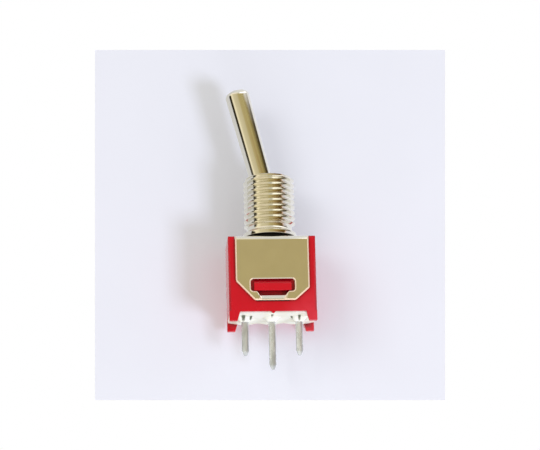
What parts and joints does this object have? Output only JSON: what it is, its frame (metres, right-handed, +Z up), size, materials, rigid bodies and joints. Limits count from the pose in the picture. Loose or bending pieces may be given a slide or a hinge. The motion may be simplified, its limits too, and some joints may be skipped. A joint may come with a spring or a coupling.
{
  "type": "sub-miniature toggle switch",
  "caption": "Small panel toggle switch: red case in a bent metal frame, threaded bushing, round lever and flat solder pins.",
  "frame": {"origin": "on the bushing's axis, at the top face of the metal frame, which is the panel side of the switch", "axes": "+Z up the bushing's axis, away from the pins; X along the row of pins and the lever's swing; -Y is the front"},
  "size_m": [0.0082, 0.0058, 0.0273],
  "materials": {
    "case": "semi-gloss moulded",
    "frame": "bright plated sheet",
    "bushing": "bright nickel plate",
    "lever": "bright chrome plate",
    "steel": "plain",
    "plunger": "moulded nylon",
    "contact": "stamped",
    "silver": "silver contact face",
    "terminal": "tinned",
    "resin": "cast resin"
  },
  "bodies": {
    "housing": {"case": "case", "frame": "frame", "bushing": "bushing", "left_terminal": "terminal", "middle_terminal": "terminal", "right_terminal": "terminal", "fixed_pad_left": "silver", "fixed_pad_right": "silver", "sealing_resin": "resin"},
    "lever": {"lever": "lever", "cross_pin": "steel", "plunger_spring": "steel"},
    "plunger": {"plunger": "plunger"},
    "rocker": {"rocking_contact": "contact", "rocker_pad_left": "silver", "rocker_pad_right": "silver"}
  },
  "joints": [
    {"name": "lever_swing", "type": "hinge", "parent": "housing", "child": "lever", "pos_m": [0, 0, 0.00325], "axis": [0, 1, 0], "range_deg": [0, 28]},
    {"name": "plunger_slide", "type": "slide", "parent": "lever", "child": "plunger", "axis": [-0.2419, 0, 0.9703], "range_m": [0, 0.0003], "stiffness_N_per_m": 400, "springref_m": -0.001, "deforming": ["plunger_spring"]},
    {"name": "contact_rock", "type": "hinge", "parent": "housing", "child": "rocker", "pos_m": [0, 0, -0.00314], "axis": [0, 1, 0], "range_deg": [-18, 0]}
  ],
  "couplings": [
    {"joint": "contact_rock", "follows": "lever_swing", "ratio": -0.64286}
  ]
}
